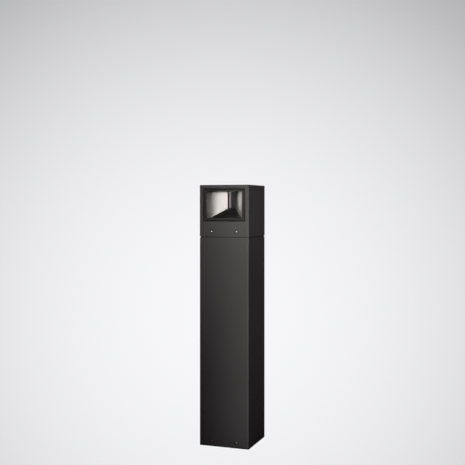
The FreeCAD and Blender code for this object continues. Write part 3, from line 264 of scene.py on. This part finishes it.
FINISHES = {
    "powder_coat": powder_coat(),
    "black_frame": satin_black("black_frame", (0.020, 0.0195, 0.019), 0.32, 0.42),
    "bright_reflector": bright_sheet(),
    "black_plastic": satin_black("black_plastic", (0.024, 0.0235, 0.023), 0.34, 0.48),
    "grey_plastic": plastic("grey_plastic", (0.38, 0.39, 0.40)),
    "white_plastic": plastic("white_plastic", (0.78, 0.78, 0.75)),
    "rubber": rubber("rubber", (0.010, 0.010, 0.010)),
    "silicone": rubber("silicone", (0.007, 0.007, 0.007)),
    "stainless": metal("stainless", (0.62, 0.61, 0.59), 0.22, 0.38, 500.0),
    "zinc_steel": metal("zinc_steel", (0.60, 0.61, 0.62), 0.3, 0.45, 350.0),
    "galvanised": galvanised(),
    "black_steel": satin_black("black_steel", (0.016, 0.016, 0.016), 0.4, 0.55),
    "cast_alloy": metal("cast_alloy", (0.60, 0.60, 0.60), 0.45, 0.62, 900.0),
    "sheet_alloy": metal("sheet_alloy", (0.75, 0.75, 0.76), 0.25, 0.4, 200.0, (1.0, 12.0, 1.0)),
    "clear_glass": clear("clear_glass", 1.5, (0.995, 0.99, 0.99), 0.0, 0.012),
    "clear_optic": clear("clear_optic", 1.49, (0.98, 0.98, 0.98), 0.01, 0.04),
    "led_phosphor": phosphor(),
    "cable_jacket": rubber("cable_jacket", (0.016, 0.016, 0.016)),
}


# Pieces whose surface differs from the usual one of their material.
OWN_FINISHES = {
    "glare_ramp": satin_black("ramp_finish", (0.085, 0.082, 0.080), 0.34, 0.48),
    # The adapter in the shadow gap is black, and darkened further as painted shade of the gap.
    "post_adapter": satin_black("adapter_black_and_painted_shade", (0.006, 0.006, 0.006), 0.70, 0.85),
    "throat_fin": fin_sheet(),
    "head_set_screws": metal("screw_steel", (0.42, 0.41, 0.40), 0.20, 0.32, 500.0),
    # The foot's set screws take a darker, rougher copy of the head screws' steel; the darker tone is painted
    # shade.
    "post_set_screws": metal("screw_steel_painted_shade", (0.32, 0.31, 0.30), 0.42, 0.56, 500.0),
}


def dress_nodes():
    """Give every CAD node its own finish, or that of its slot in the record."""
    for part in frame["record"]["subparts"]:
        finish = OWN_FINISHES.get(part["node"]) or FINISHES[part["material_slot"]]
        NODES[part["node"]].data.materials.append(finish)


# ---------------------------------------------------------------- camera

VIEW_AZIMUTH = math.radians(19.90)
EYE = Vector((0.9365, -2.5871, 0.7396))
LENS = 67.62
SENSOR_WIDTH = 36.0
FAR_CLIP = 60.0
# The camera is level, and the shifts, in picture widths, place the light in the frame.
SIDE_SHIFT = -0.0006
VERTICAL_SHIFT = -0.0573


def make_camera():
    data = bpy.data.cameras.new("camera")
    data.lens = LENS
    data.sensor_width = SENSOR_WIDTH
    data.shift_x = SIDE_SHIFT
    data.shift_y = VERTICAL_SHIFT
    data.clip_end = FAR_CLIP
    camera = bpy.data.objects.new("camera", data)
    camera.location = EYE
    camera.rotation_euler = (math.radians(90.0), 0.0, VIEW_AZIMUTH)
    bpy.context.scene.collection.objects.link(camera)
    bpy.context.scene.camera = camera


# ---------------------------------------------------------------- backdrop

FLOOR_RADIUS = 6.0
FLOOR_RINGS = 6
SWEEP = 6.0
SWEEP_RINGS = 48
SIDES = 96
# The glow falls off with the squared tangent of the angle between its aim and a direction from EYE.
# EYE is the main camera's place. It is a fixed point, so another view's camera doesn't move the glow.
GLOW_AIM = Vector((-0.350, 0.929, -0.121))
GLOW_MIDDLE = 0.935
GLOW_FALL = 2.23
GLOW_LEAST = 0.44
GLOW_BLEND = 0.15
LEAST_COSINE = 0.3
BACKDROP_TINT = (0.994, 0.994, 1.012)


def backdrop():
    """Pale floor that sweeps up all round into a closed dome. It glows by itself and lights nothing."""
    profile = [(FLOOR_RADIUS * k / FLOOR_RINGS, 0.0) for k in range(1, FLOOR_RINGS + 1)]
    for k in range(1, SWEEP_RINGS + 1):
        turn = math.pi * k / SWEEP_RINGS
        profile.append((FLOOR_RADIUS + SWEEP * math.sin(turn), SWEEP - SWEEP * math.cos(turn)))
    points = [(0.0, 0.0, 0.0)]
    for radius, height in profile:
        for j in range(SIDES):
            angle = 2 * math.pi * j / SIDES
            points.append((radius * math.cos(angle), radius * math.sin(angle), height))
    points.append((0.0, 0.0, 2.0 * SWEEP))
    faces = [(0, 1 + j, 1 + (j + 1) % SIDES) for j in range(SIDES)]
    for k in range(len(profile) - 1):
        low, high = 1 + k * SIDES, 1 + (k + 1) * SIDES
        for j in range(SIDES):
            after = (j + 1) % SIDES
            faces.append((low + j, high + j, high + after, low + after))
    last, top = 1 + (len(profile) - 1) * SIDES, len(points) - 1
    faces += [(last + j, top, last + (j + 1) % SIDES) for j in range(SIDES)]
    mesh = bpy.data.meshes.new("backdrop")
    mesh.from_pydata([Vector(point) - EYE for point in points], [], faces)
    mesh.polygons.foreach_set("use_smooth", [True] * len(faces))
    dome = bpy.data.objects.new("backdrop", mesh)
    dome.location = EYE
    bpy.context.scene.collection.objects.link(dome)
    mesh.materials.append(backdrop_glow())
    dome.visible_diffuse = False
    dome.visible_glossy = False
    dome.visible_transmission = False
    dome.visible_shadow = False


def backdrop_glow():
    """Painted light on the backdrop: a near-white glow, brightest low behind the object and softly darker
    away from there.
    """
    made = bpy.data.materials.new("backdrop_glow")
    made.use_nodes = True
    tree = made.node_tree
    tree.nodes.clear()

    def compute(operation, *values):
        node = tree.nodes.new("ShaderNodeMath")
        node.operation = operation
        for socket, value in zip(node.inputs, values):
            if isinstance(value, float):
                socket.default_value = value
            else:
                tree.links.new(value, socket)
        return node.outputs[0]

    place = tree.nodes.new("ShaderNodeTexCoord")
    away = tree.nodes.new("ShaderNodeVectorMath")
    away.operation = "NORMALIZE"
    along = tree.nodes.new("ShaderNodeVectorMath")
    along.operation = "DOT_PRODUCT"
    along.inputs[1].default_value = GLOW_AIM.normalized()
    tree.links.new(place.outputs["Object"], away.inputs[0])
    tree.links.new(away.outputs["Vector"], along.inputs[0])
    cosine = compute("MAXIMUM", along.outputs["Value"], LEAST_COSINE)
    tangent_squared = compute("SUBTRACT", compute("POWER", cosine, -2.0), 1.0)
    glow = compute("SUBTRACT", GLOW_MIDDLE, compute("MULTIPLY", tangent_squared, GLOW_FALL))
    glow = compute("SMOOTH_MAX", glow, GLOW_LEAST, GLOW_BLEND)
    emission = tree.nodes.new("ShaderNodeEmission")
    emission.inputs["Color"].default_value = (*BACKDROP_TINT, 1.0)
    tree.links.new(glow, emission.inputs["Strength"])
    output = tree.nodes.new("ShaderNodeOutputMaterial")
    tree.links.new(emission.outputs["Emission"], output.inputs["Surface"])
    return made


# ---------------------------------------------------------------- lights

def around(azimuth, distance, height):
    """Point round the object: azimuth 0 is the front, 90 degrees the right-hand side."""
    turn = math.radians(azimuth)
    return Vector((distance * math.sin(turn), -distance * math.cos(turn), height))


def softbox(name, place, target, size, power, spread=180.0, colour=(1.0, 1.0, 1.0)):
    data = bpy.data.lights.new(name, "AREA")
    data.shape = "RECTANGLE"
    data.size, data.size_y = size
    data.energy = power
    data.color = colour
    data.spread = math.radians(spread)
    light = bpy.data.objects.new(name, data)
    light.location = place
    light.rotation_euler = (place - Vector(target)).to_track_quat("Z", "Y").to_euler()
    light.visible_camera = False
    bpy.context.scene.collection.objects.link(light)


def world(strength):
    made = bpy.data.worlds.new("studio")
    made.use_nodes = True
    background = made.node_tree.nodes["Background"]
    background.inputs["Color"].default_value = (1.0, 1.0, 1.0, 1.0)
    background.inputs["Strength"].default_value = strength
    bpy.context.scene.world = made


WORLD_STRENGTH = 0.002
WARM = (1.0, 0.98, 0.955)
FRONT_FACE = cad_low[1]
KEY_DISTANCE = 1.25
KEY_AIM = 0.115
BOX_DISTANCE = 1.2
# Gridded key column from the right front: name, azimuth, height, width and height of the box, power, spread.
KEY_CELLS = [
    ("key_low", 20.0, 0.10, (0.20, 0.25), 0.18, 24.0),
    ("key_middle", 20.0, 0.35, (0.20, 0.25), 0.13, 24.0),
    ("key_upper", 25.0, 0.46, (0.20, 0.25), 0.065, 22.0),
    ("key_neck", 28.0, 0.67, (0.15, 0.15), 0.025, 14.0),
    ("key_head", 28.0, 0.73, (0.20, 0.20), 0.065, 18.0),
]


def studio():
    """Key column, three boxes for the face and the reflector, a side fill and a fill from behind."""
    world(WORLD_STRENGTH)
    backdrop()
    for name, azimuth, height, size, power, spread in KEY_CELLS:
        target = (KEY_AIM, FRONT_FACE, height)
        softbox(name, around(azimuth, KEY_DISTANCE, height), target, size, power, spread, WARM)
    softbox("front_light", around(10.0, BOX_DISTANCE, 0.85), (0.06, -0.06, 0.78),
            (0.24, 0.60), 0.530, 44.0, WARM)
    softbox("front_soft", around(7.0, BOX_DISTANCE, 0.80), (0.10, -0.06, 0.80),
            (0.32, 0.60), 0.165, 40.0, WARM)
    softbox("wing_light", around(32.0, BOX_DISTANCE, 0.80), (0.10, -0.06, 0.80),
            (0.24, 0.50), 0.085, 40.0, WARM)
    softbox("side_fill", around(82.0, 1.3, 1.70), (0.08, 0.0, 0.95), (0.4, 0.6), 1.30, 62.0)
    softbox("back_fill", around(225.0, 1.6, 1.10), (0.0, 0.0, 0.5), (0.8, 0.8), 40.0)


bpy.context.scene.view_settings.view_transform = "Standard"
make_camera()
dress_nodes()
studio()
